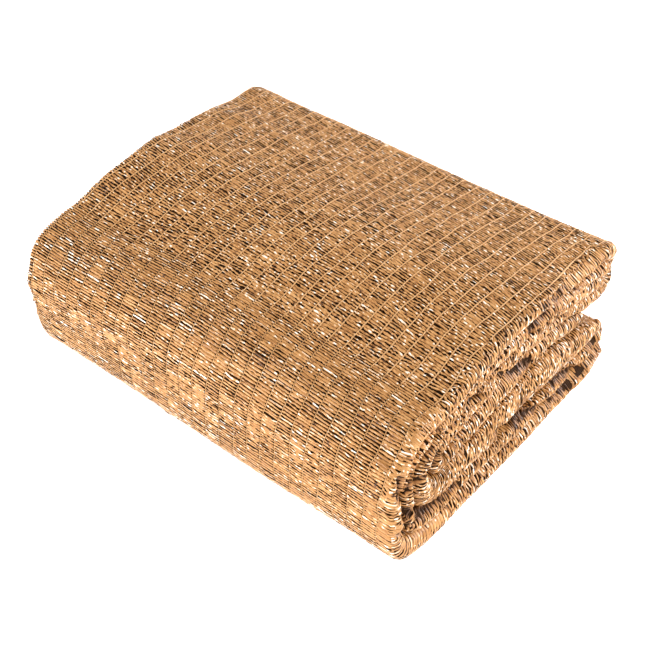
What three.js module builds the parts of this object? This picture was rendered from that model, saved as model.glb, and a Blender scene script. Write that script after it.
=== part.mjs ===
import * as THREE from 'three';

// A length of knitted greenhouse shade cloth, folded into a flat bundle, in millimetres, +Z up.
// X runs along the long side of the bundle, -Y is its wrapped front and +Y its open back.
// The origin is on the ground under the middle of the bundle.
//
// The cloth is folded lengthwise twice into a strip of four plies: the outer edge fold joins the
// first and last ply at +X, the inner edge fold joins the two between them, a hairpin joins the
// first two at -X, and the cloth's two side edges lie there too. The strip is then folded in half
// three times, which makes eight layers. The last fold wraps the front of the bundle.

// Driving sizes
const LENGTH = 320;
const DEPTH = 258;
const SHEET = 1.5;
const LAYER_GAP = 0.8;

// Where the strip's straight passes lie along Y, and the five places that the layer table is for
const FRONT_BEND_Y = -76;
const UPPER_LOBE_Y = 103;
const LOWER_LOBE_Y = 102;
const PLACES = [-76, -40, 0, 50, 104];

// Each layer's thickness at the five places, top to bottom
const LAYERS = [
  { front: 11.0, early: 11.0, middle: 11.5, late: 10.5, back: 9.5 },
  { front: 8.0, early: 8.2, middle: 8.5, late: 8.5, back: 10.0 },
  { front: 8.0, early: 8.2, middle: 8.2, late: 8.7, back: 10.5 },
  { front: 8.0, early: 8.2, middle: 8.2, late: 9.2, back: 12.0 },
  { front: 8.5, early: 11.5, middle: 12.0, late: 10.5, back: 8.5 },
  { front: 17.5, early: 21.0, middle: 22.5, late: 18.5, back: 9.5 },
  { front: 11.5, early: 12.0, middle: 12.0, late: 11.5, back: 9.5 },
  { front: 13.5, early: 12.5, middle: 11.0, late: 10.0, back: 9.0 },
];

// How far each layer's edges stand in from the longest layer's, at +X and at -X, where the front
// turn ends and at the back. Top to bottom.
const INSETS = [
  { rightFront: 11, rightBack: 11, leftFront: 11, leftBack: 1 },
  { rightFront: 11, rightBack: 11, leftFront: 10, leftBack: 3 },
  { rightFront: 10, rightBack: 12, leftFront: 7, leftBack: 3 },
  { rightFront: 10, rightBack: 14, leftFront: 6, leftBack: 3 },
  { rightFront: 8, rightBack: 15, leftFront: 6, leftBack: 4 },
  { rightFront: 3, rightBack: 7, leftFront: 8, leftBack: 5 },
  { rightFront: 2, rightBack: 4, leftFront: 11, leftBack: 7 },
  { rightFront: 1, rightBack: 0, leftFront: 15, leftBack: 10 },
];

// The order in which the strip passes along the layers, from one cut end to the other
const PASSES = [6, 3, 2, 7, 8, 1, 4, 5];
const FIRST_END_Y = 101;
const LAST_END_Y = 86;

// How the strip turns at the front and at the back. reach: from the turn's centre to the outermost
// ply. above and below: how square the turn is over and under its centre, 2 being round.
// top and bottom: its outermost layers, with its centre in the gap under the layer named split.
// taper: how far its edge at +X stands in further at its foremost place.
const TURNS = {
  front: { y: FRONT_BEND_Y, side: -1, reach: 53, above: 2.2, below: 6.0, top: 1, split: 4, bottom: 8, taper: 0 },
  upper: { y: UPPER_LOBE_Y, side: 1, reach: 21, above: 2.3, below: 2.3, top: 1, split: 2, bottom: 4, taper: 2 },
  lower: { y: LOWER_LOBE_Y, side: 1, reach: 15, above: 2.3, below: 2.6, top: 7, split: 7, bottom: 8, taper: 8 },
};

// Where each wrap of the front turn lies at the turn's foremost place, outermost wrap first:
// its outer and inner side, where 0 is the turn's centre and 1 its outermost ply
const WRAPS = [
  { outer: 1.0, inner: 0.81 },
  { outer: 0.78, inner: 0.63 },
  { outer: 0.59, inner: 0.33 },
  { outer: 0.27, inner: 0.03 },
];

// How far the cloth's two side edges stand in from the hairpin beside them
const OUTER_EDGE_INSET = 4;
const INNER_EDGE_INSET = 2;

// How uneven the bundle is. The rises and the drop are shares of the height, along and across are
// shares of the length and the depth, and the push moves the top to and fro along Y. The far front
// splays towards -X above its level and draws in below it, and the foot of the front wall stands
// forward at +X and back at -X.
const RIPPLE = { rise: 0.008, along: 9.3, across: 6.1 };
const PROUD_CORNER = { rise: 0.045, along: 0.5, spread: 0.12 };
const FAR_BACK_RISE = 0.03;
const FAR_FRONT_DROP = 0.06;
const PUSH = { most: 1.6, height: 100, along: 5.3, phase: 1.1 };
const SPLAY = { most: 4, level: 55, over: 30, least: -0.6 };
const FOOT = { forward: 4, back: 1, from: 0.33 };

// Faces along the strip and across the cloth
const PASS_STEPS = 4;
const FRONT_TURN_STEPS = 8;
const BACK_TURN_STEPS = 6;
const PLY_STEPS = 3;
const EDGE_FOLD_STEPS = 7;
const INNER_FOLD_STEPS = 4;
const HAIRPIN_STEPS = 5;

const COLOUR = 0xb48a5c;

const mix = (a, b, t) => a + (b - a) * t;
const soft = (t) => t * t * (3 - 2 * t);

// From 0 in the middle of the bundle to 1 at an end of it
const towards = (share) => soft(Math.max(0, Math.min(1, 2 * share)));

// A smooth curve through values given at the five places
function alongDepth(values, y) {
  const last = PLACES.length - 2;
  const i = Math.max(0, Math.min(last, PLACES.findIndex((place) => y < place) - 1));
  const k = y >= PLACES[last + 1] ? last : i;
  const slope = (j) => {
    const a = Math.max(0, j - 1);
    const b = Math.min(last + 1, j + 1);
    return (values[b] - values[a]) / (PLACES[b] - PLACES[a]);
  };
  const width = PLACES[k + 1] - PLACES[k];
  const t = Math.max(0, Math.min(1, (y - PLACES[k]) / width));
  const rise = values[k + 1] - values[k];
  const bend = t * (1 - t) * ((1 - t) * (slope(k) * width - rise) - t * (slope(k + 1) * width - rise));
  return values[k] + rise * t + bend;
}

function thickness(layer, y) {
  const row = LAYERS[layer - 1];
  return alongDepth([row.front, row.early, row.middle, row.late, row.back], y);
}

// The height of a layer's lower and upper face
function lowerFace(layer, y) {
  let z = 0;
  for (let below = LAYERS.length; below > layer; below -= 1) {
    z += thickness(below, y) + LAYER_GAP;
  }
  return z;
}

function upperFace(layer, y) {
  return lowerFace(layer, y) + thickness(layer, y);
}

// A point of a turn, where share is 0 at its centre and 1 at its outermost ply
function turnPoint(turn, angle, share) {
  const centre = lowerFace(turn.split, turn.y) - LAYER_GAP / 2;
  const up = angle >= 0;
  const half = up ? upperFace(turn.top, turn.y) - centre : centre - lowerFace(turn.bottom, turn.y);
  const square = up ? turn.above : turn.below;
  const across = Math.cos(angle) / turn.reach;
  const rise = Math.abs(Math.sin(angle)) / half;
  const radius = 1 / (across ** square + rise ** square) ** (1 / square);
  return {
    y: turn.y + turn.side * radius * share * Math.cos(angle),
    z: centre + radius * share * Math.sin(angle),
  };
}

// Where a height at the turn's centre line lies between the centre and the outermost ply
function shareOf(turn, z) {
  const centre = lowerFace(turn.split, turn.y) - LAYER_GAP / 2;
  const top = upperFace(turn.top, turn.y) - centre;
  const bottom = centre - lowerFace(turn.bottom, turn.y);
  return z > centre ? (z - centre) / top : (centre - z) / bottom;
}

// How far a layer's edges stand in, at a place along Y
function insets(layer, y) {
  const row = INSETS[layer - 1];
  const t = (y - FRONT_BEND_Y) / (UPPER_LOBE_Y - FRONT_BEND_Y);
  return { right: mix(row.rightFront, row.rightBack, t), left: mix(row.leftFront, row.leftBack, t) };
}

// The stations of a pass. first is the side of the cloth's first ply, last that of its fourth.
function passStations(layer, from, to, rising) {
  const stations = [];
  for (let i = 0; i <= PASS_STEPS; i += 1) {
    const y = mix(from, to, i / PASS_STEPS);
    const upper = { y, z: upperFace(layer, y) };
    const lower = { y, z: lowerFace(layer, y) };
    const first = rising ? upper : lower;
    const last = rising ? lower : upper;
    stations.push({ first, last, ...insets(layer, y) });
  }
  return stations;
}

// The share of a ply in a turn, from those where the turn meets its upper and lower layer and,
// in the front turn, that at its foremost place
function shareAt(angle, above, below, foremost) {
  const plain = mix(below, above, soft(angle / Math.PI + 0.5));
  return foremost === undefined ? plain : mix(plain, foremost, Math.cos(angle) ** 2);
}

// The stations of a turn between two layers, without the two that its passes already have
function turnStations(turn, fromLayer, toLayer, steps) {
  const upperLayer = Math.min(fromLayer, toLayer);
  const lowerLayer = Math.max(fromLayer, toLayer);
  const climbing = toLayer === upperLayer;
  const outerAbove = shareOf(turn, upperFace(upperLayer, turn.y));
  const outerBelow = shareOf(turn, lowerFace(lowerLayer, turn.y));
  const innerAbove = shareOf(turn, lowerFace(upperLayer, turn.y));
  const innerBelow = shareOf(turn, upperFace(lowerLayer, turn.y));
  const wrap = turn === TURNS.front ? WRAPS[upperLayer - 1] : {};
  const from = insets(fromLayer, turn.y);
  const to = insets(toLayer, turn.y);
  const firstOutside = climbing === (turn.side < 0);
  const stations = [];
  for (let i = 1; i < steps; i += 1) {
    const t = i / steps;
    const angle = (climbing ? t - 0.5 : 0.5 - t) * Math.PI;
    const outer = turnPoint(turn, angle, shareAt(angle, outerAbove, outerBelow, wrap.outer));
    const inner = turnPoint(turn, angle, shareAt(angle, innerAbove, innerBelow, wrap.inner));
    const first = firstOutside ? outer : inner;
    const last = firstOutside ? inner : outer;
    const right = mix(from.right, to.right, soft(t)) + turn.taper * Math.cos(angle) ** 2;
    const left = mix(from.left, to.left, soft(t));
    stations.push({ first, last, right, left });
  }
  return stations;
}

// The whole way of the strip, from one cut end to the other
function strip() {
  const stations = [];
  PASSES.forEach((layer, i) => {
    const rising = i % 2 === 1;
    const back = backOf(i);
    const from = rising ? FRONT_BEND_Y : back;
    const to = rising ? back : FRONT_BEND_Y;
    stations.push(...passStations(layer, from, to, rising));
    if (i + 1 < PASSES.length) {
      const turn = rising ? backTurn(i) : TURNS.front;
      const steps = rising ? BACK_TURN_STEPS : FRONT_TURN_STEPS;
      stations.push(...turnStations(turn, layer, PASSES[i + 1], steps));
    }
  });
  return stations;
}

function backTurn(pass) {
  return PASSES[pass] > TURNS.front.split ? TURNS.lower : TURNS.upper;
}

function backOf(pass) {
  if (pass === 0) {
    return FIRST_END_Y;
  }
  return pass === PASSES.length - 1 ? LAST_END_Y : backTurn(pass).y;
}

// The cloth's own section across the strip: its middle line and the direction to its first side,
// as x and the depth below the first ply's outer face
function section(deep, rightEdge, leftEdge) {
  const pitch = (deep - SHEET) / 3;
  const ply = (n) => SHEET / 2 + (n - 1) * pitch;
  const foldX = rightEdge - SHEET / 2 - 1.5 * pitch;
  const hairpinX = leftEdge + SHEET / 2 + pitch / 2;
  const points = [];
  const straight = (fromX, toX, depth, side) => {
    for (let i = 0; i < PLY_STEPS; i += 1) {
      points.push({ x: mix(fromX, toX, i / PLY_STEPS), depth, nx: 0, nd: side });
    }
  };
  const fold = (x, fromPly, toPly, hand, side, steps) => {
    const middle = (ply(fromPly) + ply(toPly)) / 2;
    const radius = Math.abs(ply(toPly) - ply(fromPly)) / 2;
    const way = Math.sign(toPly - fromPly);
    for (let i = 0; i < steps; i += 1) {
      const angle = (i / steps) * Math.PI;
      const across = hand * Math.sin(angle);
      const down = -way * Math.cos(angle);
      const depth = middle + radius * down;
      points.push({ x: x + radius * across, depth, nx: side * across, nd: side * down });
    }
  };
  straight(leftEdge + OUTER_EDGE_INSET, foldX, ply(4), 1);
  fold(foldX, 4, 1, 1, 1, EDGE_FOLD_STEPS);
  straight(foldX, hairpinX, ply(1), -1);
  fold(hairpinX, 1, 2, -1, 1, HAIRPIN_STEPS);
  straight(hairpinX, foldX, ply(2), 1);
  fold(foldX, 2, 3, 1, -1, INNER_FOLD_STEPS);
  straight(foldX, leftEdge + INNER_EDGE_INSET, ply(3), -1);
  points.push({ x: leftEdge + INNER_EDGE_INSET, depth: ply(3), nx: 0, nd: -1 });
  return points;
}

// Softens the bundle: no two places along it are alike, its upper back corner at +X stands
// prouder than the middle of that edge, and its underside stays flat
function uneven(point) {
  const along = point.x / LENGTH;
  const across = point.y / DEPTH;
  const ripple = RIPPLE.rise * Math.sin(RIPPLE.along * along - RIPPLE.across * across);
  const offCorner = (along - PROUD_CORNER.along) / PROUD_CORNER.spread;
  const corner = PROUD_CORNER.rise * Math.exp(-(offCorner ** 2)) * towards(across);
  const farBack = FAR_BACK_RISE * towards(-along) * towards(across);
  const farFront = FAR_FRONT_DROP * towards(-along) * towards(-across);
  const up = point.z / PUSH.height;
  const push = PUSH.most * Math.sin(PUSH.along * along + PUSH.phase) * up;
  const lean = Math.max(SPLAY.least, Math.min(1, (point.z - SPLAY.level) / SPLAY.over));
  const splay = SPLAY.most * lean * towards(-along) * towards(-across);
  const foot = (FOOT.forward * towards(along + FOOT.from) - FOOT.back) * towards(-across) * (1 - up);
  return {
    x: point.x - splay,
    y: point.y + push - foot,
    z: point.z * (1 + ripple + corner + farBack - farFront),
  };
}

// The closed surface: two sides of the cloth, its two side edges and its two cut ends
function clothGeometry() {
  const stations = strip();
  const positions = [];
  let width = 0;
  for (const side of [0.5, -0.5]) {
    for (const station of stations) {
      const dy = station.last.y - station.first.y;
      const dz = station.last.z - station.first.z;
      const deep = Math.hypot(dy, dz);
      const points = section(deep, LENGTH / 2 - station.right, station.left - LENGTH / 2);
      width = points.length;
      for (const p of points) {
        const depth = (p.depth + side * SHEET * p.nd) / deep;
        const x = p.x + side * SHEET * p.nx;
        const place = uneven({ x, y: station.first.y + dy * depth, z: station.first.z + dz * depth });
        positions.push(place.x, place.y, place.z);
      }
    }
  }
  const count = stations.length;
  const at = (side, i, k) => (side * count + i) * width + k;
  const faces = [];
  // Neighbouring plies are parted along the same diagonal, so that they stay clear of each other
  const key = (v) => positions[3 * v] + positions[3 * v + 1] + positions[3 * v + 2];
  const quad = (a, b, c, d) => {
    const low = Math.min(key(a), key(b), key(c), key(d));
    const corner = low === key(a) || low === key(c);
    faces.push(...(corner ? [a, c, b, a, d, c] : [b, d, c, b, a, d]));
  };
  for (let i = 0; i + 1 < count; i += 1) {
    for (let k = 0; k + 1 < width; k += 1) {
      quad(at(0, i, k), at(0, i, k + 1), at(0, i + 1, k + 1), at(0, i + 1, k));
      quad(at(1, i, k), at(1, i + 1, k), at(1, i + 1, k + 1), at(1, i, k + 1));
    }
    const end = width - 1;
    quad(at(0, i, 0), at(0, i + 1, 0), at(1, i + 1, 0), at(1, i, 0));
    quad(at(0, i, end), at(1, i, end), at(1, i + 1, end), at(0, i + 1, end));
  }
  for (let k = 0; k + 1 < width; k += 1) {
    const end = count - 1;
    quad(at(0, 0, k), at(1, 0, k), at(1, 0, k + 1), at(0, 0, k + 1));
    quad(at(0, end, k), at(0, end, k + 1), at(1, end, k + 1), at(1, end, k));
  }
  const geometry = new THREE.BufferGeometry();
  geometry.setAttribute('position', new THREE.Float32BufferAttribute(positions, 3));
  geometry.setIndex(faces);
  geometry.computeBoundingBox();
  const middle = geometry.boundingBox.getCenter(new THREE.Vector3());
  geometry.translate(-middle.x, -middle.y, 0);
  geometry.computeVertexNormals();
  return geometry;
}

function shadeCloth() {
  const material = new THREE.MeshStandardMaterial({ color: COLOUR, roughness: 0.6, metalness: 0 });
  const mesh = new THREE.Mesh(clothGeometry(), material);
  mesh.name = 'shade_cloth';
  return mesh;
}

const group = new THREE.Group();
group.add(shadeCloth());

export default group;
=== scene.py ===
import math

import bpy
import numpy as np
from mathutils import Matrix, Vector


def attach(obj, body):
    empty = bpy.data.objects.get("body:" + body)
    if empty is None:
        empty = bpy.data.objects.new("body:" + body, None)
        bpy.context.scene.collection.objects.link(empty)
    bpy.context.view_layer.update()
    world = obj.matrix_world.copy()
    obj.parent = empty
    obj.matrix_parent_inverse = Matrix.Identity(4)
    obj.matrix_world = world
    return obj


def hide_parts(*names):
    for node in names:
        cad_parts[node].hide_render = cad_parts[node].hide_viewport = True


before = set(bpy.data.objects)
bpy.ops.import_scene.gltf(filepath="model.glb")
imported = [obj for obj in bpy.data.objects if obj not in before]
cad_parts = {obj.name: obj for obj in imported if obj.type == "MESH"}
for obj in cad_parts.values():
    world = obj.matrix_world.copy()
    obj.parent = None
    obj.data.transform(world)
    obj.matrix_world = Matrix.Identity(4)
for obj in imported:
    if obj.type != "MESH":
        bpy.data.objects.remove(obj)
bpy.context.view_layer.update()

# The folded cloth's shape, in millimetres, with the same sizes as the solid's
MM = 0.001
LENGTH, DEPTH, SHEET, LAYER_GAP = 320.0, 258.0, 1.5, 0.8
HALF = LENGTH / 2
FRONT_BEND_Y, UPPER_LOBE_Y, LOWER_LOBE_Y = -76.0, 103.0, 102.0
# Each layer's thickness at five places along Y, from the top layer to the bottom one
PLACES = (-76.0, -40.0, 0.0, 50.0, 104.0)
LAYERS = (
    (11.0, 11.0, 11.5, 10.5, 9.5),
    (8.0, 8.2, 8.5, 8.5, 10.0),
    (8.0, 8.2, 8.2, 8.7, 10.5),
    (8.0, 8.2, 8.2, 9.2, 12.0),
    (8.5, 11.5, 12.0, 10.5, 8.5),
    (17.5, 21.0, 22.5, 18.5, 9.5),
    (11.5, 12.0, 12.0, 11.5, 9.5),
    (13.5, 12.5, 11.0, 10.0, 9.0),
)
# How far each layer's edges stand in: right front, right back, left front, left back
INSETS = (
    (11, 11, 11, 1),
    (11, 11, 10, 3),
    (10, 12, 7, 3),
    (10, 14, 6, 3),
    (8, 15, 6, 4),
    (3, 7, 8, 5),
    (2, 4, 11, 7),
    (1, 0, 15, 10),
)
# The layers in the order in which the strip runs through them, and where it starts and ends
PASSES = (6, 3, 2, 7, 8, 1, 4, 5)
FIRST_END_Y, LAST_END_Y = 101.0, 86.0
# The turns: how far each reaches, how square it is above and below its centre, and its layers
FRONT = dict(
    y=FRONT_BEND_Y, side=-1, reach=53.0, above=2.2, below=5.4, top=1, split=4, bottom=8, taper=0.0
)
UPPER = dict(
    y=UPPER_LOBE_Y, side=1, reach=21.0, above=2.3, below=2.3, top=1, split=2, bottom=4, taper=2.0
)
LOWER = dict(
    y=LOWER_LOBE_Y, side=1, reach=15.0, above=2.3, below=2.6, top=7, split=7, bottom=8, taper=8.0
)
# The outer and inner side of each wrap of the front turn at its foremost place
WRAPS = ((1.0, 0.81), (0.78, 0.63), (0.59, 0.33), (0.27, 0.03))
OUTER_EDGE_INSET, INNER_EDGE_INSET = 4.0, 2.0
PASS_STATIONS, TURN_STATIONS = 60, 50
# The strip's plies, and the outer fold's radius in spacings between them
PLIES = 4
WIDE_BEND = (PLIES - 1) / 2
# The step either way that gives the cloth's direction, and the least height of the cloth
DIRECTION_STEP, LEAST_RUN, LEAST_HEIGHT = 0.6, 1e-6, 0.02

# Soft departures from an even bundle, as in the solid
RIPPLE = dict(rise=0.008, along=9.3, across=6.1)
PROUD_CORNER = dict(rise=0.045, along=0.5, spread=0.12)
FAR_BACK_RISE, FAR_FRONT_DROP = 0.03, 0.06
PUSH = dict(most=1.6, height=100.0, along=5.3, phase=1.1)
SPLAY = dict(most=4.0, level=55.0, over=30.0, least=-0.6)
FOOT = dict(forward=4.0, back=1.0, start=0.33)
SHIFT_X, SHIFT_Y = -0.492, 3.115

# Finer waves at the edges: their sizes, and the cells and starts of their random fields
EDGE_START, EDGE_SPAN = 105.0, 45.0
EDGE_SWAY, EDGE_RISE, BROAD_RISE = 1.6, 1.5, 0.4
SWAY_CELL_Y, SWAY_CELL_Z, SWAY_START_Y, SWAY_START_Z = 34.0, 10.0, 9, 3
RISE_CELL_Y, RISE_CELL_Z, RISE_CELL_X, RISE_START_Y, RISE_START_Z = 21.0, 15.0, 33.0, 5, 20
LOW_PART, LOW_SWAY = 14.0, 0.3
# The lowest rolled edge at +X is drawn in towards the back
TUCK = dict(most=5.0, start=75.0, over=30.0, height=18.0)

# Creases in the rolled edges at +X, each along the gap under a layer: the layer, where it starts
# and ends along Y, how deep and how wide. A negative depth fills the gap.
CREASES = (
    (1, 8, 106, 5.0, 3.2),
    (1, 62, 84, 2.5, 3.5),
    (1, 18, 34, 2.5, 3.5),
    (2, -70, 60, -1.6, 2.6),
    (3, -56, -36, 5.0, 4.0),
    (3, 0, 90, -1.4, 2.6),
    (4, -30, 84, 3.5, 3.2),
    (4, -18, -4, 3.5, 4.5),
    (4, 6, 20, 4.0, 5.0),
    (5, -60, 40, -1.8, 3.0),
    (6, 84, 112, 6.0, 4.0),
    (6, -40, 60, -2.0, 3.4),
    (7, 30, 112, 4.5, 3.0),
    (7, -72, -20, 4.5, 3.4),
)
CREASE_FADE = 9.0
CREASE_Y = np.linspace(-140, 140, 141)

# Dark pockets between the rolled edges at +X, drawn in and given painted shade: each a line of
# places along Y and Z, and its reach
POCKETS = (
    (((103, 88), (84, 89), (65, 90), (45, 93), (28, 94)), 1.8),
    (((36, 84), (24, 86), (15, 82)), 3.0),
    (((56, 65), (44, 68)), 2.2),
    (((-20, 73), (-12, 68)), 2.4),
    (((0, 58), (10, 55), (22, 51)), 3.2),
    (((-52, 76), (-46, 73), (-36, 68)), 2.6),
    (((-27, 35), (-2, 23), (15, 20), (42, 12), (62, 6)), 2.6),
    (((100, 17), (90, 19)), 2.2),
    (((80, 10), (68, 15), (55, 20), (41, 22)), 2.2),
    (((-113, 57), (-108, 64), (-101, 69), (-90, 71), (-81, 75)), 2.2),
    (((-104, 56), (-95, 57), (-86, 54), (-79, 58), (-76, 66)), 2.2),
    (((-119, 71), (-121, 62), (-120, 56)), 2.4),
    (((-116, 42), (-111, 38)), 3.6),
    (((-103, 29), (-98, 26)), 3.0),
    (((-123, 31), (-112, 27), (-101, 24), (-82, 22), (-66, 22)), 2.0),
)
POCKET_DEPTH = 4.0

# Stretches of the strip by number: pass 2i, turn 2i+1
ABOVE_LOWER_TURN, LOWER_TURN, WRAP_TURN = 6, 7, 9
TOP_PASS, UPPER_TURN, BELOW_UPPER_TURN = 10, 11, 12
# How far the knit goes in from the edges at +X and -X, the back lobes and the strip's ends
EDGE_REACH, FAR_REACH, BACK_REACH, END_REACH = 15.0, 10.0, 36.0, 12.0

# The ground sheet: its lift off the middle of the cloth, the distance between its rows, and
# how many columns each stretch of the section has
GROUND_LIFT, GROUND_STEP = -0.35, 5.0
GROUND_COLUMNS = (20, 12, 48, 6, 10, 5, 10)

# The knit: ribs run along the strip and flat tapes cross between them
RIB_PITCH = 11.0
RIBS = np.arange(-30, 82)
# Where the pieces for the edges at +X end and those for the far edges start
EDGES_UP_TO_C = 60
# The tapes' pitches, the heights on the wall where they change, and how softly they do
TAPE_PITCH, SHOULDER_TAPE_PITCH, WALL_TAPE_PITCH, FOOT_TAPE_PITCH = 2.1, 1.85, 2.2, 2.9
WALL_TOP, FOOT_TOP = 60.0, 26.0
PITCH_WINDOW = 21
# Waves of the ribs: size, cell along the strip, shift and step from rib to rib, and start
RIB_WAVES = ((1.9, 21.0, 13.7, 0.35, 3.0), (0.4, 6.5, 5.1, 0.9, 40.0))
MOST_RIB_SHIFT = 64
# How far the ribs slide on the wall and at its foot, going down from a height
WALL_SLIDE = dict(size=9.0, height=93.0, over=20.0)
FOOT_SLIDE = dict(size=2.5, height=45.0, over=40.0)

# The ribs' two strands, lying lower on the wall and sunk in the rolled edges. They twist round
# each other once in a few stations, which are a step apart along the strip.
STRAND_SIDES = 3
STRAND_STEP, TWIST_STATIONS = 1.8, 3
STRAND_RADIUS, WALL_STRAND_RADIUS = 0.42, 0.28
STRAND_SWING, STRAND_RISE = 0.24, 0.12
STRAND_LIFT, WALL_STRAND_DROP, SUNK_STRAND_DROP = 0.48, 0.34, 0.40
SUNK_FULL, SUNK_REACH = 1.3, 12

# How loose the knit is: two random fields, each with its share and the cells along the strip
# and across it, and more towards the left front, where the looser, darker knit is painted shade
LOOSE_FIELDS = ((0.55, 9.0, 12.0), (0.45, 4.3, 11.0))
MEAN_LOOSE = 0.5
LEFT_START, LEFT_SPAN, LEFT_SHADE_LOOSE, WRAP_LEFT_SHADE_LOOSE = 130, 110, 0.32, 0.14
FRONT_START, FRONT_SPAN = -30, 80

# Where a tape counts as near a rim, where two tapes join without a rib, and where they are cut
RIM_START, RIM_SPAN, RIM_RIBS, RIM_CUTS = 4, 9, 2.0, (0.35, 0.65)
# How far the tapes slant along the strip: on the wrap, on the top from front to back, elsewhere
WRAP_SLANT, TOP_SLANT, TOP_SLANT_GAIN, SLANT = 0.25, 0.2, 0.5, 0.6
TOP_SLANT_START, TOP_SLANT_SPAN = -75, 80
SLANT_SPREADS, RIM_SLANT_SPREAD = (0.12, 0.35), 0.30
# The tapes lie calmer near the foot of the wall
CALMING, CALM_START, CALM_SPAN = 0.6, 45, -15
TILT_SPREAD, KINK_SPREAD, HOP_SPREAD, DRIFT_SPREAD = 0.14, 0.20, 0.06, 0.12
BOW_MOST, STRAY_BOWS, STRAY_SHARE = 0.30, (0.3, 0.9), 0.02
TAPE_LIFT, LEAST_LIFT, TAPE_CURL, GLINT_HOP = 0.22, -0.25, 0.30, 0.14
ACROSS = np.array([-1.0, -0.35, 0.35, 1.0])

# A tape's width, as a share of the pitch, and its waists. Pairs are for the wrap and elsewhere.
TAPE_WIDTH, WRAP_WIDTH, WRAP_LOOSE_WIDTH, RIM_WIDTHS = 0.92, 0.86, 0.4, (0.16, -0.08)
LEAST_WIDTH, WIDTH_SPREAD, END_WIDTH = 0.15, 0.06, 0.92
WAIST_SHARE, WAIST_LOOSE, WAIST_LIMITS, WAIST_FACTORS = 0.20, 0.40, (0.04, 0.6), (0.5, 1.0)
WAIST_DEPTH, WAIST_RUN = 0.78, 0.12
PINCHES = ((0.2, 0.7), (0.0, 0.5))
JOINED_ENDS, FREE_ENDS = (-0.06, 1.06), (0.02, 0.98)

# A tape's tone, from 0 to 1: its middle and spread, painted shade on its sides that makes the
# ladder, and specks
TONE, WRAP_SHADE_DROP, TONE_SPREAD, FINE_TONE_SPREADS = 0.635, 0.06, 0.06, (0.07, 0.11)
SIDE_SHADE_TONES = np.array([-0.34, 0.08, 0.08, -0.34])
LADDER, LADDER_LOOSE, LADDER_LIMITS = 0.7, 2.2, (0.1, 1.2)
FOOT_LADDER, RIM_LADDER = 1.4, 0.4
BROAD_SPECKS, STEADY_SPECKS = 0.15, 0.4
# Dark specks are painted shade, where holes would show the shaded inside: their share, more where
# the knit is loose, fewer on the wall and more on the rolled edges
DARK_SHARE, LOOSE_DARK, WRAP_DARK, FACE_DARK = 0.13, 0.20, 0.09, 0.07
# How much the painted shade darkens the specks and the ends of the tapes on the rolled edges, whose
# tone is then raised a little overall
SPECK_SHADE_DROP, FACE_END_SHADE, FACE_TONE = 0.46, 0.24, 0.03
MOST_TONE, GLINT_TONE = 0.84, 1.0
# Glints are painted highlights: near-white tone on runs of points in the tapes' middles, more of
# them on the rolled edges
GLINT_SHARE, RIM_GLINT_SHARE = 0.095, 0.06
GLINT_RUNS, GLINT_BROADS = (0.4, 0.2), (0.25, 0.35)

# In a dark pocket the tapes get painted shade, their tone drawn towards the darkest, and most of
# them are sunk
POCKET_START, POCKET_SHADE_TONE, POCKET_SHADES = 130.0, 0.0, (0.8, 1.0)
POCKET_SINK, SUNK_SHARE = 1.5, 0.75
OUTER_FACE_C = 2

# Finishes
# The tapes' colours by tone: the darkest stops carry painted shade, and the near-white last one
# painted highlights
TAPE_STOPS = (
    (0.0, (0.03, 0.010, 0.003)),
    (0.15, (0.13, 0.048, 0.012)),
    (0.35, (0.34, 0.145, 0.041)),
    (0.60, (0.51, 0.240, 0.076)),
    (0.84, (0.68, 0.370, 0.145)),
    (1.0, (1.0, 0.950, 0.850)),
)
RIB_STOPS = ((0.35, (0.56, 0.28, 0.100)), (0.65, (0.78, 0.48, 0.225)))
# The ground under the tapes is near black: painted shade of the cloth's inside seen through the
# gaps
GROUND_SHADE_STOPS = (
    (0.2, (0.008, 0.003, 0.001)),
    (0.5, (0.026, 0.010, 0.002)),
    (0.8, (0.08, 0.032, 0.008)),
)
BARE_STOPS = (
    (0.2, (0.10, 0.042, 0.012)),
    (0.5, (0.34, 0.155, 0.048)),
    (0.8, (0.56, 0.290, 0.105)),
)
STRIPE_SHARE = 0.22

# Stage, lights and camera, in metres and watts
FLOOR_HALF, FLOOR_GREY, FLOOR_GLOW = 6.0, 0.92, 0.82
SKY_STOPS = ((0.0, (1, 1, 1)), (0.12, (1, 1, 1)), (0.75, (0.62, 0.62, 0.62)))
SKY_STRENGTH = 1.29
LIGHT_AIM = (0, 0, 0.05)
LIGHTS = (
    ("front_low", (-0.75, -1.3, 0.35), (0.4, 0.3), 17.0),
    ("back_right", (0.75, 1.15, 0.55), (0.35, 0.35), 21.5),
    ("right_low", (1.35, -0.35, 0.35), (0.4, 0.3), 4.0),
)
CAMERA_AZIMUTH, CAMERA_ELEVATION = 39.0, 40.5
CAMERA_AIM = (0.0, 0.0, 0.0504)
CAMERA_DISTANCE = 2.72 * 0.32
CAMERA_SENSOR, CAMERA_FOCAL_SHARE = 36.0, 2.048
CAMERA_SHIFT = (-0.0018, -0.0592)


def mix(a, b, t):
    return a + (b - a) * t


def soft(t):
    return t * t * (3 - 2 * t)


def towards(share):
    return soft(np.clip(2 * share, 0, 1))


def passed(value, start, span):
    """How far a value has gone from start to start + span, from 0 to 1"""
    return np.clip((value - start) / span, 0, 1)


# The strip's path through the layers and turns
def along_depth(values, y):
    """A smooth curve through values given at the five places"""
    last = len(PLACES) - 2
    k = min(last, max(0, int(np.searchsorted(PLACES, y, side="right")) - 1))

    def slope(j):
        a, b = max(0, j - 1), min(last + 1, j + 1)
        return (values[b] - values[a]) / (PLACES[b] - PLACES[a])

    width = PLACES[k + 1] - PLACES[k]
    t = max(0.0, min(1.0, (y - PLACES[k]) / width))
    rise = values[k + 1] - values[k]
    start, end = slope(k) * width - rise, slope(k + 1) * width - rise
    return values[k] + rise * t + t * (1 - t) * ((1 - t) * start - t * end)


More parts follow.
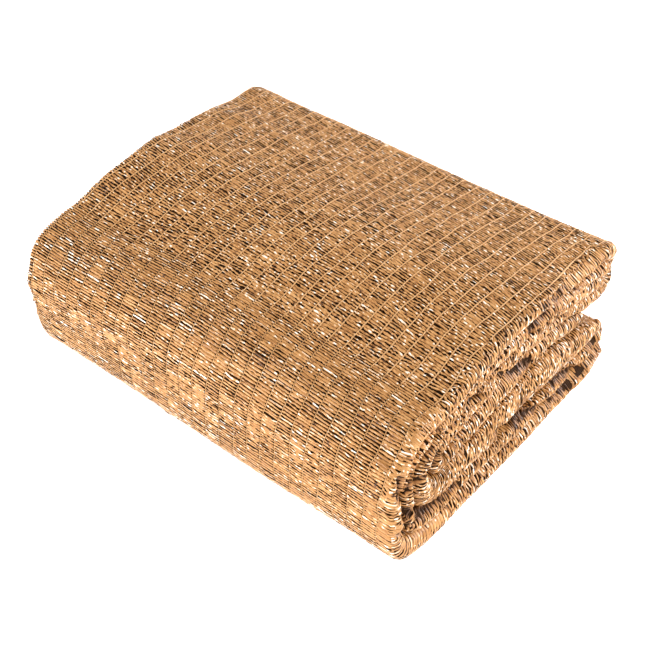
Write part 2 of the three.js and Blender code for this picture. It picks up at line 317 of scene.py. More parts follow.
def lower_face(layer, y):
    return sum(along_depth(LAYERS[n - 1], y) + LAYER_GAP for n in range(len(LAYERS), layer, -1))


def upper_face(layer, y):
    return lower_face(layer, y) + along_depth(LAYERS[layer - 1], y)


def insets(layer, y):
    row = INSETS[layer - 1]
    t = (y - FRONT_BEND_Y) / (UPPER_LOBE_Y - FRONT_BEND_Y)
    return mix(row[0], row[1], t), mix(row[2], row[3], t)


def turn_heights(turn):
    centre = lower_face(turn["split"], turn["y"]) - LAYER_GAP / 2
    top = upper_face(turn["top"], turn["y"]) - centre
    bottom = centre - lower_face(turn["bottom"], turn["y"])
    return centre, top, bottom


def turn_point(turn, angle, share):
    """A point of a turn, where share is 0 at its centre and 1 at its outermost ply"""
    centre, top, bottom = turn_heights(turn)
    half, square = (top, turn["above"]) if angle >= 0 else (bottom, turn["below"])
    across = math.cos(angle) / turn["reach"]
    rise = abs(math.sin(angle)) / half
    radius = (across**square + rise**square) ** (-1 / square)
    y = turn["y"] + turn["side"] * radius * share * math.cos(angle)
    return y, centre + radius * share * math.sin(angle)


def share_of(turn, z):
    centre, top, bottom = turn_heights(turn)
    return (z - centre) / top if z > centre else (centre - z) / bottom


def share_at(angle, above, below, foremost):
    plain = mix(below, above, soft(angle / math.pi + 0.5))
    return plain if foremost is None else mix(plain, foremost, math.cos(angle) ** 2)


def back_turn(i):
    return LOWER if PASSES[i] > FRONT["split"] else UPPER


def pass_rows(i, layer):
    """Stations of one pass"""
    rising = i % 2 == 1
    if i == 0:
        back = FIRST_END_Y
    else:
        back = LAST_END_Y if i == len(PASSES) - 1 else back_turn(i)["y"]
    from_y, to_y = (FRONT_BEND_Y, back) if rising else (back, FRONT_BEND_Y)
    for y in np.linspace(from_y, to_y, PASS_STATIONS):
        upper, lower = (y, upper_face(layer, y)), (y, lower_face(layer, y))
        first, last = (upper, lower) if rising else (lower, upper)
        yield (*first, *last, *insets(layer, y), 2 * i)


def turn_rows(i, layer, after):
    """Stations of the turn between two passes"""
    turn = back_turn(i) if i % 2 == 1 else FRONT
    high, low = min(layer, after), max(layer, after)
    climbing = after == high
    outer_above = share_of(turn, upper_face(high, turn["y"]))
    outer_below = share_of(turn, lower_face(low, turn["y"]))
    inner_above = share_of(turn, lower_face(high, turn["y"]))
    inner_below = share_of(turn, upper_face(low, turn["y"]))
    wrap = WRAPS[high - 1] if turn is FRONT else (None, None)
    start, end = insets(layer, turn["y"]), insets(after, turn["y"])
    for t in np.linspace(0, 1, TURN_STATIONS)[1:-1]:
        angle = (t - 0.5 if climbing else 0.5 - t) * math.pi
        outer = turn_point(turn, angle, share_at(angle, outer_above, outer_below, wrap[0]))
        inner = turn_point(turn, angle, share_at(angle, inner_above, inner_below, wrap[1]))
        pair = (outer, inner) if climbing == (turn["side"] < 0) else (inner, outer)
        right, left = (mix(start[n], end[n], soft(t)) for n in (0, 1))
        right += turn["taper"] * math.cos(angle) ** 2
        yield (*pair[0], *pair[1], right, left, 2 * i + 1)


def strip():
    """Stations along the strip: first and last side's y and z, the insets, and which stretch"""
    rows = []
    for i, layer in enumerate(PASSES):
        rows.extend(pass_rows(i, layer))
        if i + 1 < len(PASSES):
            rows.extend(turn_rows(i, layer, PASSES[i + 1]))
    return np.array(rows, float)


STATIONS = strip()
steps = np.diff(STATIONS[:, :4], axis=0)
longer = np.maximum(np.hypot(steps[:, 0], steps[:, 1]), np.hypot(steps[:, 2], steps[:, 3]))
WAY = np.concatenate([[0.0], np.cumsum(longer)])
STRIP_LENGTH = float(WAY[-1])


def stretch_at(s):
    """Which pass (even) or turn (odd) of the strip a place along it is in"""
    return STATIONS[np.clip(np.searchsorted(WAY, s), 0, len(WAY) - 1), 6].astype(int)


def on_outside(kind):
    """Whether stretches of the strip are outside ones: the front wall, the top or the top's turn"""
    return (kind >= WRAP_TURN) & (kind <= UPPER_TURN)


def section_sizes(s):
    """The strip's section at places along it"""
    first_y, first_z, last_y, last_z, right, left = (
        np.interp(s, WAY, STATIONS[:, n]) for n in range(6)
    )
    dy, dz = last_y - first_y, last_z - first_z
    deep = np.hypot(dy, dz)
    pitch = (deep - SHEET) / (PLIES - 1)
    wide_bend = WIDE_BEND * pitch
    fold_x = HALF - right - SHEET / 2 - wide_bend
    hairpin_x = left - HALF + SHEET / 2 + pitch / 2
    return dict(
        y=first_y,
        z=first_z,
        dy=dy / deep,
        dz=dz / deep,
        deep=deep,
        pitch=pitch,
        fold_x=fold_x,
        quarter=wide_bend * math.pi / 2,
        run=fold_x - hairpin_x,
        hairpin_x=hairpin_x,
        half_turn=pitch * math.pi / 2,
        left=left - HALF,
    )


def outer_height(g):
    """The height of the strip's last side, which is the outer one on the wrap"""
    return g["z"] + g["dz"] * g["deep"]


# Random fields
def value_noise(seed, size):
    """A smooth random field from 0 to 1, to be read at any place in cells"""
    table = np.random.default_rng(seed).random((size, size))

    def read(u, v):
        iu, iv = np.floor(u).astype(int), np.floor(v).astype(int)
        fu, fv = soft(u - iu), soft(v - iv)
        near = mix(table[iu % size, iv % size], table[(iu + 1) % size, iv % size], fu)
        far = mix(table[iu % size, (iv + 1) % size], table[(iu + 1) % size, (iv + 1) % size], fu)
        return mix(near, far, fv)

    return read


random = np.random.default_rng(20240611)
patch = value_noise(seed=5, size=64)
fine_patch = value_noise(seed=6, size=97)
lead = value_noise(seed=7, size=128)
sway_field = value_noise(seed=11, size=64)
rise_field = value_noise(seed=12, size=64)

GAP_HEIGHTS = {
    n: [lower_face(n, y) - LAYER_GAP / 2 for y in CREASE_Y] for n in range(1, len(LAYERS))
}


def crease(y, z):
    """How far the +X edge is drawn in at a place on it"""
    total = 0.0
    for layer, start, end, depth, reach in CREASES:
        off = (z - np.interp(y, CREASE_Y, GAP_HEIGHTS[layer])) / reach
        ends = soft(passed(y, start, CREASE_FADE)) * soft(passed(y, end, -CREASE_FADE))
        total = total + depth * ends * np.exp(-(off**2))
    return total


def pocket(y, z):
    """How far a place on the +X edge is in a dark pocket, from 0 to 1"""
    total = np.zeros(np.broadcast(y, z).shape)
    for line, reach in POCKETS:
        for (y0, z0), (y1, z1) in zip(line[:-1], line[1:]):
            go_y, go_z = y1 - y0, z1 - z0
            t = np.clip(((y - y0) * go_y + (z - z0) * go_z) / (go_y**2 + go_z**2), 0, 1)
            off = np.hypot(y - y0 - t * go_y, z - z0 - t * go_z)
            total = np.maximum(total, np.exp(-((off / reach) ** 2)))
    return total


def uneven(x, y, z):
    """The bundle's departures from an even one, as in the solid, and finer ones at its edges"""
    along, across = x / LENGTH, y / DEPTH
    ripple = RIPPLE["rise"] * np.sin(RIPPLE["along"] * along - RIPPLE["across"] * across)
    off_corner = (along - PROUD_CORNER["along"]) / PROUD_CORNER["spread"]
    corner = PROUD_CORNER["rise"] * np.exp(-(off_corner**2)) * towards(across)
    back = FAR_BACK_RISE * towards(-along) * towards(across)
    drop = FAR_FRONT_DROP * towards(-along) * towards(-across)
    up = z / PUSH["height"]
    lean = np.clip((z - SPLAY["level"]) / SPLAY["over"], SPLAY["least"], 1)
    splay = SPLAY["most"] * lean * towards(-along) * towards(-across)
    foot = FOOT["forward"] * towards(along + FOOT["start"]) - FOOT["back"]
    foot = foot * towards(-across) * (1 - up)
    pushed = y + PUSH["most"] * np.sin(PUSH["along"] * along + PUSH["phase"]) * up - foot
    higher = z * (1 + ripple + corner + back - drop)

    at_edge = soft(passed(np.abs(x), EDGE_START, EDGE_SPAN))
    at_rolls = np.where(x > 0, at_edge, 0)
    off_floor = passed(z, 0, LOW_PART)
    sway_z = z / SWAY_CELL_Z + SWAY_START_Z + np.sign(x)
    sway = 2 * sway_field(y / SWAY_CELL_Y + SWAY_START_Y, sway_z) - 1
    out = np.sign(x) * at_edge * EDGE_SWAY * sway
    out = out * mix(LOW_SWAY, 1, off_floor) - at_rolls * crease(y, z)
    rise_z = z / RISE_CELL_Z + x / RISE_CELL_X + RISE_START_Z
    rise = 2 * rise_field(y / RISE_CELL_Y + RISE_START_Y, rise_z) - 1
    rise = (EDGE_RISE * at_edge + BROAD_RISE) * rise
    tuck = TUCK["most"] * soft(passed(y, TUCK["start"], TUCK["over"]))
    tuck = tuck * (1 - passed(z, 0, TUCK["height"]))
    out = out - at_rolls * tuck
    final_y, final_z = pushed + SHIFT_Y, higher + rise * off_floor
    out = out - at_rolls * POCKET_DEPTH * pocket(final_y, final_z)
    return x - splay + out + SHIFT_X, final_y, final_z


def cloth(s, c, lift):
    """Points of the cloth, s along the strip, c across it from the +X fold, lift off its middle"""
    s, c, lift = np.broadcast_arrays(s, c, lift)
    g = section_sizes(s)
    pitch, quarter, run, half_turn = g["pitch"], g["quarter"], g["run"], g["half_turn"]
    deep, fold_x, hairpin_x = g["deep"], g["fold_x"], g["hairpin_x"]
    ply = SHEET / 2
    one = np.ones_like(deep)
    nil = np.zeros_like(deep)
    wide_bend, bend = WIDE_BEND * pitch, pitch / 2
    theta = c / wide_bend
    to_hairpin = c - quarter - run
    phi = to_hairpin / bend
    second = to_hairpin - half_turn
    to_inner = second - run
    psi = to_inner / bend
    third = to_inner - half_turn
    # each stretch of the section: whether c is in it, then x, depth and the normal's two parts
    cases = (
        (c < -quarter, fold_x + c + quarter, deep - ply, nil, one),
        (
            c <= quarter,
            fold_x + wide_bend * np.cos(theta),
            deep / 2 - wide_bend * np.sin(theta),
            np.cos(theta),
            -np.sin(theta),
        ),
        (to_hairpin < 0, fold_x - (c - quarter), ply * one, nil, -one),
        (
            second < 0,
            hairpin_x - bend * np.sin(phi),
            ply + bend * (1 - np.cos(phi)),
            -np.sin(phi),
            -np.cos(phi),
        ),
        (to_inner < 0, hairpin_x + second, ply + pitch, nil, one),
        (
            third < 0,
            fold_x + bend * np.sin(psi),
            deep / 2 - bend * np.cos(psi),
            -np.sin(psi),
            np.cos(psi),
        ),
        (one > 0, fold_x - third, deep / 2 + bend, nil, -one),
    )
    tests = [case[0] for case in cases]
    x, depth, nx, nd = (np.select(tests, [case[n] for case in cases]) for n in range(1, 5))
    ahead, behind = section_sizes(s + DIRECTION_STEP), section_sizes(s - DIRECTION_STEP)
    share = depth / deep
    run_y, run_z = (
        mix(
            ahead[a] - behind[a],
            ahead[a] + ahead["d" + a] * ahead["deep"]
            - behind[a] - behind["d" + a] * behind["deep"],
            share,
        )
        for a in "yz"
    )
    size = np.maximum(np.hypot(run_y, run_z), LEAST_RUN)
    facing = np.where(g["dy"] * run_z - g["dz"] * run_y > 0, 1.0, -1.0) / size
    off_y, off_z = facing * run_z, -facing * run_y
    x, y, z = uneven(
        x + lift * nx,
        g["y"] + g["dy"] * depth + off_y * lift * nd,
        g["z"] + g["dz"] * depth + off_z * lift * nd,
    )
    return np.stack([x, y, np.maximum(z, LEAST_HEIGHT)], -1) * MM


def make_mesh(name, points, faces, attributes=()):
    """A smooth-shaded object from arrays of points and quads"""
    mesh = bpy.data.meshes.new(name)
    mesh.vertices.add(len(points))
    mesh.vertices.foreach_set("co", points.astype(np.float32).ravel())
    mesh.loops.add(faces.size)
    mesh.loops.foreach_set("vertex_index", faces.astype(np.int32).ravel())
    mesh.polygons.add(len(faces))
    starts = np.arange(0, faces.size, faces.shape[1], dtype=np.int32)
    mesh.polygons.foreach_set("loop_start", starts)
    mesh.polygons.foreach_set("use_smooth", np.ones(len(faces), bool))
    for label, kind, values in attributes:
        layer = mesh.attributes.new(label, kind, "POINT")
        field = "vector" if kind == "FLOAT_VECTOR" else "value"
        layer.data.foreach_set(field, values.astype(np.float32).ravel())
    mesh.update()
    mesh.validate()
    piece = bpy.data.objects.new(name, mesh)
    bpy.context.scene.collection.objects.link(piece)
    return piece


def first_corners(rows, columns):
    """The first corner of each quad of a grid of points, which are numbered row by row"""
    i, k = np.meshgrid(np.arange(rows - 1), np.arange(columns - 1), indexing="ij")
    return (i * columns + k).ravel()


# The parts of the cloth whose knit can be seen
def zones(s):
    """The stretches of the cloth's width whose knit can be seen, at each place along the strip"""
    g = section_sizes(s)
    kind = stretch_at(s)
    across = g["quarter"] + g["run"]
    fourth = -(g["quarter"] + g["fold_x"] - g["left"] - OUTER_EDGE_INSET)
    whole = (kind >= LOWER_TURN) & (kind <= UPPER_TURN)
    whole |= (kind == ABOVE_LOWER_TURN) & (g["y"] > LOWER_LOBE_Y - BACK_REACH)
    whole |= (kind == BELOW_UPPER_TURN) & (g["y"] > UPPER_LOBE_Y - BACK_REACH)
    ends = (s < END_REACH) | (s > STRIP_LENGTH - END_REACH)
    turned = across + g["half_turn"]
    last = turned + g["run"] + g["half_turn"] + g["fold_x"] - g["left"] - INNER_EDGE_INSET
    return dict(g=g, whole=whole, ends=ends, across=across, turned=turned, fourth=fourth, last=last)


def seen(z, c):
    """Whether the knit at c is in a zone"""
    edge = np.abs(c) < z["g"]["quarter"] + EDGE_REACH
    far = (c > z["across"] - FAR_REACH) & (c < z["turned"] + FAR_REACH)
    free = c < z["fourth"] + EDGE_REACH
    free |= c > z["last"] - EDGE_REACH
    main = z["whole"] & (c > 0) & (c < z["turned"])
    inside = (c > z["fourth"]) & (c < z["last"])
    return (edge | far | free | main | z["ends"]) & inside


def widened(z):
    """The same zones, for arrays of places with the strip along their first side"""
    wide = {name: value[:, None] for name, value in z.items() if name != "g"}
    wide["g"] = {name: value[:, None] for name, value in z["g"].items()}
    return wide


# The ground of the knit: one sheet along the whole strip, in its true folds
def ground_sheet():
    s = np.arange(0, STRIP_LENGTH, GROUND_STEP)
    s = np.append(s, STRIP_LENGTH)
    g = section_sizes(s)
    quarter, run, half_turn = g["quarter"], g["run"], g["half_turn"]
    fourth = g["fold_x"] - g["left"] - OUTER_EDGE_INSET
    third = g["fold_x"] - g["left"] - INNER_EDGE_INSET
    marks = [-quarter - fourth, -quarter, quarter, quarter + run]
    for more in (half_turn, run, half_turn, third):
        marks.append(marks[-1] + more)
    columns = []
    for n, count in enumerate(GROUND_COLUMNS):
        columns += [mix(marks[n], marks[n + 1], t) for t in np.arange(count) / count]
    columns.append(marks[-1])
    c = np.stack(columns, 1)
    points = cloth(s[:, None], c, GROUND_LIFT)
    width = c.shape[1]
    at = first_corners(*c.shape)
    faces = np.stack([at, at + 1, at + width + 1, at + width], 1)
    bare = ~seen(widened(zones(s)), c)
    place = np.stack([np.broadcast_to(s[:, None] * MM, c.shape), c * MM, bare], -1)
    attributes = [("place", "FLOAT_VECTOR", place.reshape(-1, 3))]
    return make_mesh("cloth_ground", points.reshape(-1, 3), faces, attributes)


# Courses and ribs
def course_places():
    """The tapes' places along the strip, further apart down the front wall than on its shoulder"""
    s = np.arange(0, STRIP_LENGTH, 1.0)
    g = section_sizes(s)
    wrap = stretch_at(s) == WRAP_TURN
    height = outer_height(g)
    window = np.hanning(PITCH_WINDOW)
    tests = [wrap & (height < FOOT_TOP), wrap & (height < WALL_TOP), wrap]
    pitch = np.select(tests, [FOOT_TAPE_PITCH, WALL_TAPE_PITCH, SHOULDER_TAPE_PITCH], TAPE_PITCH)
    padded = np.pad(pitch, PITCH_WINDOW // 2, mode="edge")
    pitch = np.convolve(padded, window / window.sum(), mode="valid")
    number = np.concatenate([[0.0], np.cumsum(1 / pitch)])
    return np.interp(np.arange(0.5, number[-1] - 0.5), number, np.arange(len(number)))


courses = course_places()


def rib_drift(s):
    """How far the ribs stand from a constant distance to the fold: on the wall they run straight"""
    wrap = WAY[np.nonzero(STATIONS[:, 6] == WRAP_TURN)[0]]
    there = section_sizes(np.clip(s, wrap[0], wrap[-1]))
    top = section_sizes(wrap[-1])
    on_wall, at_foot = (
        passed(outer_height(there), slide["height"], -slide["over"])
        for slide in (WALL_SLIDE, FOOT_SLIDE)
    )
    slide = WALL_SLIDE["size"] * soft(on_wall) - FOOT_SLIDE["size"] * at_foot
    return there["fold_x"] + there["quarter"] - top["fold_x"] - top["quarter"] - slide


def rib_line(s, k):
    """Where rib k runs across the cloth, not quite straight"""
    line = (k + 0.5) * RIB_PITCH + rib_drift(s)
    for size, cell, shift, step, start in RIB_WAVES:
        along = s / cell + shift * k % MOST_RIB_SHIFT
        line = line + size * (lead(along, step * k + start) - 0.5)
    return line


def column(values):
    """One value for each tape, for arrays of its points along and across"""
    return values[:, None, None]


def looseness(s, start, end, g, on_wrap, on_top):
    """How loose the knit is at each tape, and looser towards the left front, which darkens it there
    as painted shade
    """
    fields = [
        share * field(s / cell, start / width)
        for field, (share, cell, width) in zip((patch, fine_patch), LOOSE_FIELDS)
    ]
    to_left = soft(passed((start + end) / 2, LEFT_START, LEFT_SPAN))
    to_front = 1 - soft(passed(g["y"], FRONT_START, FRONT_SPAN))
    # painted shade: the knit is looser, so darker, towards the left front of the top and on the
    # wall's left
    more = LEFT_SHADE_LOOSE * on_top * to_front + WRAP_LEFT_SHADE_LOOSE * on_wrap
    return fields[0] + fields[1] + more * to_left


def tape_sides(along, slack, rim, on_wrap, joined):
    """How far each tape's two sides stand from its middle, with waists and pinched ends"""
    n, points_along = along
    share = np.clip(WAIST_SHARE + WAIST_LOOSE * slack, *WAIST_LIMITS)
    share = (share * np.where(on_wrap, *WAIST_FACTORS))[:, None]
    base = np.where(on_wrap, WRAP_WIDTH - WRAP_LOOSE_WIDTH * slack, TAPE_WIDTH)
    base = (base + rim * np.where(on_wrap, *RIM_WIDTHS))[:, None]
    sides = []
    for _ in range(2):
        waist = random.random(along) < share
        waist[:, 1:] |= waist[:, :-1] & (random.random((n, points_along - 1)) < WAIST_RUN)
        side = base - WAIST_DEPTH * waist + random.normal(0, WIDTH_SPREAD, along)
        side[:, 0] -= random.uniform(*PINCHES[0], n) * ~joined[0]
        side[:, -1] -= random.uniform(*PINCHES[1], n) * ~joined[1]
        sides.append(np.maximum(side, LEAST_WIDTH))
    return sides


def tape_tones(along, slack, calm, rim, on_wrap):
    """The tone of each point of the tapes, with painted shade and painted highlights, and where
    they glint
    """
    n, points_along = along
    on_face = rim * ~on_wrap
    ladder = np.clip(LADDER + LADDER_LOOSE * slack, *LADDER_LIMITS)
    ladder = ladder + FOOT_LADDER * (1 - calm) - RIM_LADDER * on_wrap * rim
    # painted shade: the front wall's tapes start a little darker than the top's, though the cloth
    # is the same
    tones = column(TONE - WRAP_SHADE_DROP * on_wrap + random.normal(0, TONE_SPREAD, n))
    fine = column(np.where(on_wrap, *FINE_TONE_SPREADS))
    tones = tones + random.normal(0, 1, (*along, 4)) * fine
    # painted shade on each tape's two sides, between the tapes, which makes the ladder
    tones += column(ladder) * SIDE_SHADE_TONES
    speck = random.random((*along, 4))
    speck = np.where((random.random(along) < BROAD_SPECKS)[..., None], speck[:, :, :1], speck)
    steady = on_wrap[:, None] & (random.random(along) < STEADY_SPECKS)
    speck = np.where(steady[..., None], speck[:, :1], speck)
    dark = DARK_SHARE + LOOSE_DARK * slack - WRAP_DARK * on_wrap + FACE_DARK * on_face
    # painted shade: dark specks where holes would show the cloth's shaded inside
    tones -= SPECK_SHADE_DROP * (speck < column(dark))
    # painted shade at the ends of the tapes on the rolled edges, with their tone then raised a
    # little
    tones[:, [0, -1]] -= FACE_END_SHADE * column(on_face)
    tones += FACE_TONE * column(on_face)
    tones = np.clip(tones, 0, MOST_TONE)
    # painted highlights: near-white glints in the tapes' middle columns
    glint = speck[:, :, 1:3] > 1 - (GLINT_SHARE + RIM_GLINT_SHARE * column(on_face))
    go_on = random.random((n, points_along - 1, 2)) < column(np.where(on_wrap, *GLINT_RUNS))
    glint[:, 1:] |= glint[:, :-1] & go_on
    broad = random.random(along) < np.where(on_wrap, *GLINT_BROADS)[:, None]
    glint[:, :, 1] |= glint[:, :, 0] & broad
    tones[:, :, 1:3] = np.where(glint, GLINT_TONE, tones[:, :, 1:3])
    return tones, glint


def tapes(name, points_along, s, start, end):
    """Flat tapes between neighbouring ribs, one for each course, each with its own twist"""
    n = len(s)
    along = (n, points_along)
    kind = stretch_at(s)
    on_wrap, on_top = kind == WRAP_TURN, kind == TOP_PASS
    g = section_sizes(s)
    slack = looseness(s, start, end, g, on_wrap, on_top) - MEAN_LOOSE
    joined = [np.abs(at) < g["quarter"] + RIM_RIBS for at in (start, end)]
    pitch = np.interp(s, courses, np.gradient(courses))
    rim = 1 - soft(passed(np.abs(start + end) / 2 - g["quarter"], RIM_START, RIM_SPAN))
    calm = 1 - CALMING * soft(passed(outer_height(g), CALM_START, CALM_SPAN))
    calm = np.where(on_wrap, calm, 1.0)

    top_slant = TOP_SLANT_GAIN * soft(passed(g["y"], TOP_SLANT_START, TOP_SLANT_SPAN))
    slant = np.select([on_wrap, on_top], [WRAP_SLANT, TOP_SLANT + top_slant], SLANT)
    slant = random.normal(slant, np.where(on_wrap, *SLANT_SPREADS) + RIM_SLANT_SPREAD * rim)
    tilt = random.normal(0.0, TILT_SPREAD, n) * calm
    bow = random.uniform(0.0, BOW_MOST, n)
    bow = bow + random.uniform(*STRAY_BOWS, n) * (random.random(n) < STRAY_SHARE)
    drift = random.normal(0, DRIFT_SPREAD, n)
    sides = tape_sides(along, slack, rim, on_wrap, joined)
    kink = random.normal(0, KINK_SPREAD, along) * calm[:, None]
    hop = random.normal(0, HOP_SPREAD, along) * calm[:, None]
    tones, glint = tape_tones(along, slack, calm, rim, on_wrap)
    hop = hop + GLINT_HOP * glint.any(-1)

    ends = [np.where(joined[i], JOINED_ENDS[i], FREE_ENDS[i])[:, None] for i in (0, 1)]
    t = mix(*ends, np.linspace(0, 1, points_along))[:, :, None]
    belly = np.maximum(4 * t * (1 - t), 0)
    width = np.stack([sides[0], np.ones(along), np.ones(along), sides[1]], -1)
    width = width * column(pitch) / 2 * (END_WIDTH + (1 - END_WIDTH) * np.sqrt(belly))
    lean = column(tilt) + kink[:, :, None]
    across = ACROSS * width * np.cos(lean)
    lift = TAPE_LIFT + column(bow) * belly + hop[:, :, None] + ACROSS * width * np.sin(lean)
    lift = lift + TAPE_CURL * column(calm) * (1 - ACROSS * ACROSS)
    s_all = column(s) + column(drift) * belly + column(slant) * (t - 0.5) * 2 + across
    c_all = mix(column(start), column(end), t)
    points = cloth(np.clip(s_all, 0, STRIP_LENGTH), c_all, np.maximum(lift, LEAST_LIFT))

    shade = pocket(points[..., 1] / MM, points[..., 2] / MM)
    shade = shade * (points[..., 0] > POCKET_START * MM)
    shade *= ~(column(on_outside(kind)) & (c_all > OUTER_FACE_C))
    # painted shade in the dark pockets, and most tapes there sunk
    tones = mix(tones, POCKET_SHADE_TONE, column(random.uniform(*POCKET_SHADES, n)) * shade)
    points[..., 0] -= POCKET_SINK * MM * shade * column(random.random(n) < SUNK_SHARE)
    rows, columns = points.shape[1:3]
    at = first_corners(rows, columns)
    quad = np.stack([at, at + columns, at + columns + 1, at + 1], 1)
    faces = quad[None] + column(np.arange(n) * rows * columns)
    attributes = [("tone", "FLOAT", tones.reshape(-1))]
    return make_mesh(name, points.reshape(-1, 3), faces.reshape(-1, 4), attributes)


def all_tapes():
    s, k = np.meshgrid(courses, RIBS[:-1], indexing="ij")
    wide = widened(zones(courses))
    start, end = rib_line(s, k), rib_line(s, k + 1)
    middle = (start + end) / 2
    keep = seen(wide, middle)
    kind = np.broadcast_to(stretch_at(courses)[:, None], s.shape)
    outside = on_outside(kind)
    below = (kind >= LOWER_TURN) & (kind < WRAP_TURN)
    rest = ~outside & ~below
    near = middle < EDGES_UP_TO_C
    at_rim = keep & (np.abs(start + end) / 2 < wide["g"]["quarter"])
    # each piece's name, which tapes are in it, and how many points there are along a tape
    plans = (
        ("tapes_front", kind == WRAP_TURN, 8),
        ("tapes_top", outside & (kind > WRAP_TURN), 8),
        ("tapes_bottom", below, 4),
        ("tapes_edges", rest & near, 8),
        ("tapes_far_edges", rest & ~near, 4),
    )
    pieces = []
    for name, some, count in plans:
        some = some & keep & ~at_rim
        pieces.append(tapes(name, count, s[some], start[some], end[some]))
    # at the rims a tape is cut in two, because no rib shows on the fold
    s, start, end = s[at_rim], start[at_rim], end[at_rim]
    cut = mix(start, end, random.uniform(*RIM_CUTS, len(s)))
    halves = (np.concatenate(pair) for pair in ((s, s), (start, cut), (cut, end)))
    pieces.append(tapes("tapes_rims", 5, *halves))
    return pieces


def ribs(name, wanted, s, z):
    """The ribs: two strands of yarn that twist round each other"""
    phase = np.arange(len(s)) * 2 * math.pi / TWIST_STATIONS
    around = np.arange(STRAND_SIDES)
    ring = around * 2 * math.pi / STRAND_SIDES
    further = (around + 1) % STRAND_SIDES
    points, faces, count = [], [], 0
    kind = stretch_at(s)
    on_wall = kind == WRAP_TURN
    radius = np.where(on_wall, WALL_STRAND_RADIUS, STRAND_RADIUS)
    for k in RIBS:
        line = rib_line(s, np.full(len(s), k))
        mask = seen(z, line) & (np.abs(line) > z["g"]["quarter"] + RIM_RIBS)
        links = np.nonzero(mask[:-1] & mask[1:] & wanted(kind, line)[:-1])[0]
        if not len(links):
            continue
        used = np.unique(np.concatenate([links, links + 1]))
        new = np.full(len(s), -1)
        new[used] = np.arange(len(used))
        here = new[links][:, None] * STRAND_SIDES
        there = new[links + 1][:, None] * STRAND_SIDES
        sunk = np.clip(SUNK_FULL - np.abs(line) / (z["g"]["quarter"] + SUNK_REACH), 0, 1)
        sunk = sunk * ~(on_outside(kind) & (line > 0))
        height = STRAND_LIFT - WALL_STRAND_DROP * on_wall - SUNK_STRAND_DROP * sunk
        for side in (1, -1):
            offset = (line + side * STRAND_SWING * np.sin(phase))[used]
            lift = (height + side * STRAND_RISE * np.cos(phase))[used]
            rings = cloth(
                s[used, None],
                offset[:, None] + radius[used, None] * np.cos(ring),
                lift[:, None] + radius[used, None] * np.sin(ring),
            )
            points.append(rings.reshape(-1, 3))
            quads = np.stack(
                [here + around, here + further, there + further, there + around], -1
            )
            faces.append(quads.reshape(-1, 4) + count)
            count += rings.size // 3
    return make_mesh(name, np.concatenate(points), np.concatenate(faces))


def all_ribs():
    s = np.arange(0, STRIP_LENGTH, STRAND_STEP)
    z = zones(s)
    plans = (
        ("ribs_outside", lambda kind, c: on_outside(kind)),
        ("ribs_edges", lambda kind, c: ~on_outside(kind) & (c < EDGES_UP_TO_C)),
        ("ribs_far_edges", lambda kind, c: ~on_outside(kind) & (c >= EDGES_UP_TO_C)),
    )
    return [ribs(name, wanted, s, z) for name, wanted in plans]


# Materials
def new_material(name, roughness, specular):
    material = bpy.data.materials.new(name)
    material.use_nodes = True
    tree = material.node_tree
    shader = tree.nodes["Principled BSDF"]
    shader.inputs["Roughness"].default_value = roughness
    shader.inputs["Specular IOR Level"].default_value = specular
    return material, tree, shader


def add(tree, kind, **values):
    node = tree.nodes.new(kind)
    for label, value in values.items():
        if hasattr(node, label):
            setattr(node, label, value)
        else:
            node.inputs[label.replace("_", " ").title()].default_value = value
    return node


def ramp(tree, factor, stops):
    """Colours along a ramp, read at a factor"""
    node = tree.nodes.new("ShaderNodeValToRGB")
    elements = node.color_ramp.elements
    while len(elements) < len(stops):
        elements.new(0.5)
    for element, (place, colour) in zip(elements, stops):
        element.position = place
        element.color = (*colour, 1)
    tree.links.new(factor, node.inputs["Fac"])
    return node.outputs["Color"]


def add_bump(tree, shader, height, strength, distance):
    bump = add(tree, "ShaderNodeBump", strength=strength, distance=distance)
    tree.links.new(height, bump.inputs["Height"])
    tree.links.new(bump.outputs["Normal"], shader.inputs["Normal"])


def tape_material():
    material, tree, shader = new_material("tape", roughness=0.34, specular=0.26)
    tone = add(tree, "ShaderNodeAttribute", attribute_name="tone")
    colours = ramp(tree, tone.outputs["Fac"], TAPE_STOPS)
    tree.links.new(colours, shader.inputs["Base Color"])
    noise = add(tree, "ShaderNodeTexNoise", scale=900.0, detail=2.0)
    add_bump(tree, shader, noise.outputs["Fac"], strength=0.25, distance=0.0002)
    return material


def rib_material():
    material, tree, shader = new_material("rib_yarn", roughness=0.5, specular=0.3)
    noise = add(tree, "ShaderNodeTexNoise", scale=260.0, detail=3.0)
    colours = ramp(tree, noise.outputs["Fac"], RIB_STOPS)
    tree.links.new(colours, shader.inputs["Base Color"])
    return material


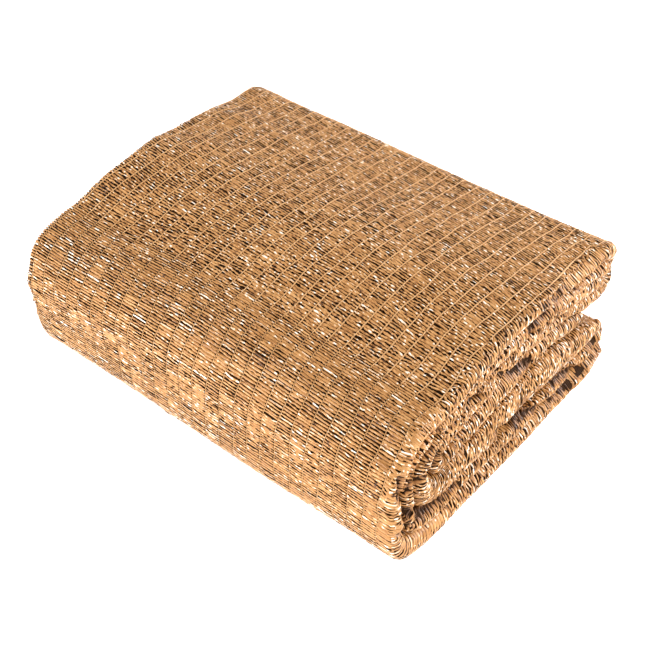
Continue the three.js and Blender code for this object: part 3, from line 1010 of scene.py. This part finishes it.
def ground_material():
    """Painted shade under the tapes: near-black knit in fine stripes, for the cloth's shaded inside
    seen through the gaps, and tan knit where the tapes are left out
    """
    material, tree, shader = new_material("knit_ground", roughness=0.6, specular=0.08)
    place = add(tree, "ShaderNodeAttribute", attribute_name="place")
    split = add(tree, "ShaderNodeSeparateXYZ")
    tree.links.new(place.outputs["Vector"], split.inputs["Vector"])
    scaled = add(tree, "ShaderNodeMath", operation="MULTIPLY")
    scaled.inputs[1].default_value = 2 * math.pi / (TAPE_PITCH / 2 * MM)
    tree.links.new(split.outputs["X"], scaled.inputs[0])
    stripes = add(tree, "ShaderNodeMath", operation="SINE")
    tree.links.new(scaled.outputs[0], stripes.inputs[0])
    noise = add(tree, "ShaderNodeTexNoise", scale=420.0, detail=3.0)
    both = add(tree, "ShaderNodeMath", operation="MULTIPLY_ADD")
    both.inputs[1].default_value = STRIPE_SHARE
    tree.links.new(stripes.outputs[0], both.inputs[0])
    tree.links.new(noise.outputs["Fac"], both.inputs[2])
    blend = tree.nodes.new("ShaderNodeMix")
    blend.data_type = "RGBA"
    tree.links.new(split.outputs["Z"], blend.inputs["Factor"])
    tree.links.new(ramp(tree, both.outputs[0], GROUND_SHADE_STOPS), blend.inputs["A"])
    tree.links.new(ramp(tree, both.outputs[0], BARE_STOPS), blend.inputs["B"])
    tree.links.new(blend.outputs["Result"], shader.inputs["Base Color"])
    add_bump(tree, shader, both.outputs[0], strength=0.8, distance=0.0006)
    return material


# Stage, light and camera
def floor_piece():
    half = FLOOR_HALF
    points = np.array([(-half, -half, 0), (half, -half, 0), (half, half, 0), (-half, half, 0)])
    floor = make_mesh("floor", points, np.array([[0, 1, 2, 3]]))
    material, _, shader = new_material("floor_white", roughness=0.9, specular=0.5)
    shader.inputs["Base Color"].default_value = (FLOOR_GREY, FLOOR_GREY, FLOOR_GREY, 1)
    shader.inputs["Emission Color"].default_value = (1, 1, 1, 1)
    shader.inputs["Emission Strength"].default_value = FLOOR_GLOW
    floor.data.materials.append(material)


def studio_sky():
    world = bpy.data.worlds.new("studio")
    world.use_nodes = True
    tree = world.node_tree
    background = tree.nodes["Background"]
    sky = tree.nodes.new("ShaderNodeTexCoord")
    height = tree.nodes.new("ShaderNodeSeparateXYZ")
    tree.links.new(sky.outputs["Generated"], height.inputs["Vector"])
    tree.links.new(ramp(tree, height.outputs["Z"], SKY_STOPS), background.inputs["Color"])
    background.inputs["Strength"].default_value = SKY_STRENGTH
    bpy.context.scene.world = world


def area_light(name, place, size, power):
    data = bpy.data.lights.new(name, "AREA")
    data.shape = "RECTANGLE"
    data.size, data.size_y = size
    data.energy = power
    lamp = bpy.data.objects.new(name, data)
    lamp.location = place
    lamp.rotation_euler = (Vector(LIGHT_AIM) - Vector(place)).to_track_quat("-Z", "Y").to_euler()
    bpy.context.scene.collection.objects.link(lamp)


def add_camera():
    azimuth, elevation = math.radians(CAMERA_AZIMUTH), math.radians(CAMERA_ELEVATION)
    back = Vector((
        math.sin(azimuth) * math.cos(elevation),
        -math.cos(azimuth) * math.cos(elevation),
        math.sin(elevation),
    ))
    data = bpy.data.cameras.new("camera")
    camera = bpy.data.objects.new("camera", data)
    camera.location = Vector(CAMERA_AIM) + back * CAMERA_DISTANCE
    camera.rotation_euler = (-back).to_track_quat("-Z", "Y").to_euler()
    data.sensor_width = CAMERA_SENSOR
    data.lens = CAMERA_FOCAL_SHARE * data.sensor_width
    data.shift_x, data.shift_y = CAMERA_SHIFT
    bpy.context.scene.collection.objects.link(camera)
    bpy.context.scene.camera = camera


floor_piece()
studio_sky()
for light in LIGHTS:
    area_light(*light)
add_camera()
settings = bpy.context.scene.view_settings
settings.view_transform = "Standard"
settings.look = "None"

ground = ground_sheet()
tape_pieces = all_tapes()
rib_pieces = all_ribs()
finishes = (
    ([ground], ground_material()),
    (tape_pieces, tape_material()),
    (rib_pieces, rib_material()),
)
for pieces, finish in finishes:
    for piece in pieces:
        piece.data.materials.append(finish)

for piece in [ground, *tape_pieces, *rib_pieces]:
    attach(piece, "root")
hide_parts("shade_cloth")
